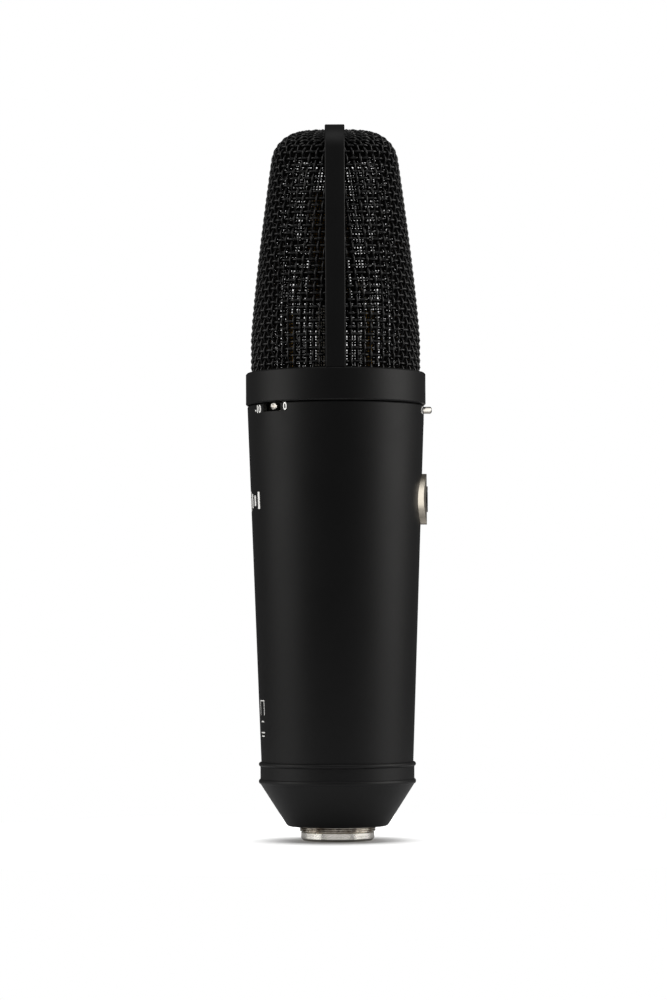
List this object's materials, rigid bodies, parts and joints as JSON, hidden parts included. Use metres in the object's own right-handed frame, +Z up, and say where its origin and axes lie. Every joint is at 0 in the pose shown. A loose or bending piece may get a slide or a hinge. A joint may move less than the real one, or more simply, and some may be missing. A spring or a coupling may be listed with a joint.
{
  "type": "condenser microphone",
  "caption": "Side-address studio condenser microphone with a woven wire head, tapered body, threaded foot, XLR inlet and working selector levers.",
  "frame": {"origin": "centre of the foot ring's lower face, which the microphone stands on", "axes": "+Z up along the body, -Y towards the front (badge and pattern switch), the strap in the XZ plane"},
  "size_m": [0.056, 0.0579, 0.2209],
  "materials": {
    "nickel": "polished nickel plate",
    "badge_metal": "satin nickel plate",
    "badge_enamel": "black enamel",
    "body_paint": "fine matte black paint",
    "outer_wire": "matte black woven wire",
    "inner_wire": "matte dark fine woven wire",
    "gold_contact": "gold plate",
    "gold_film": "gold-coated film",
    "brass": "turned brass",
    "screw_steel": "zinc plated",
    "chassis_aluminium": "fine brushed",
    "black_plastic": "moulded, satin",
    "isolator_rubber": "soft rubber",
    "white_plastic": "turned insulating plastic",
    "core_steel": "laminated steel",
    "coil_tape": "wound tape",
    "board_laminate": "lacquered laminate",
    "capacitor_case": "moulded case",
    "capacitor_sleeve": "shrunk sleeve",
    "resistor_body": "lacquered",
    "transistor_can": "plain can",
    "wire_insulation": "insulation"
  },
  "bodies": {
    "microphone": {"threaded_foot": "nickel", "xlr_shell": "nickel", "clamp_ring_front": "nickel", "clamp_ring_rear": "nickel", "switch_bezels": "nickel", "badge": "badge_metal", "badge_emblem": "badge_enamel", "end_bell": "body_paint", "chassis_ring": "body_paint", "body_tube": "body_paint", "head_collar": "body_paint", "head_strap": "body_paint", "mesh_hoop": "body_paint", "mesh_base_ring": "body_paint", "outer_mesh_front": "outer_wire", "outer_mesh_rear": "outer_wire", "inner_mesh_front": "inner_wire", "inner_mesh_rear": "inner_wire", "xlr_pins": "gold_contact", "centre_terminals": "gold_contact", "diaphragm_front": "gold_film", "diaphragm_rear": "gold_film", "board_standoffs": "brass", "backplate_front": "brass", "backplate_rear": "brass", "capsule_screws": "brass", "lead_terminals": "brass", "foot_screws": "screw_steel", "chassis_screws": "screw_steel", "board_screws": "screw_steel", "head_screws": "screw_steel", "saddle_screws": "screw_steel", "transformer_bracket": "screw_steel", "lower_plate": "chassis_aluminium", "rail_left": "chassis_aluminium", "rail_right": "chassis_aluminium", "top_plate": "chassis_aluminium", "xlr_insert": "black_plastic", "pattern_switch": "black_plastic", "pad_switch": "black_plastic", "filter_switch": "black_plastic", "head_base_plate": "black_plastic", "capsule_saddle": "black_plastic", "capsule_isolator": "isolator_rubber", "capsule_post": "white_plastic", "capsule_spacer": "white_plastic", "transformer_core": "core_steel", "transformer_coil": "coil_tape", "main_board": "board_laminate", "filter_board": "board_laminate", "film_capacitors": "capacitor_case", "electrolytic_capacitors": "capacitor_sleeve", "resistors": "resistor_body", "input_transistor": "transistor_can", "output_wires": "wire_insulation", "capsule_leads": "wire_insulation"},
    "pattern_switch_lever": {"pattern_lever": "nickel"},
    "pad_switch_lever": {"pad_lever": "nickel"},
    "filter_switch_lever": {"filter_lever": "nickel"}
  },
  "joints": [
    {"name": "pattern_switch_turn", "type": "hinge", "parent": "microphone", "child": "pattern_switch_lever", "pos_m": [0, -0.0224, 0.13345], "axis": [0, 0, 1], "range_deg": [-22, 22]},
    {"name": "pad_switch_turn", "type": "hinge", "parent": "microphone", "child": "pad_switch_lever", "pos_m": [-0.01556, 0.01611, 0.13345], "axis": [0, 0, 1], "range_deg": [-44, 0]},
    {"name": "filter_switch_turn", "type": "hinge", "parent": "microphone", "child": "filter_switch_lever", "pos_m": [0.01556, 0.01611, 0.13345], "axis": [0, 0, 1], "range_deg": [0, 44]}
  ]
}
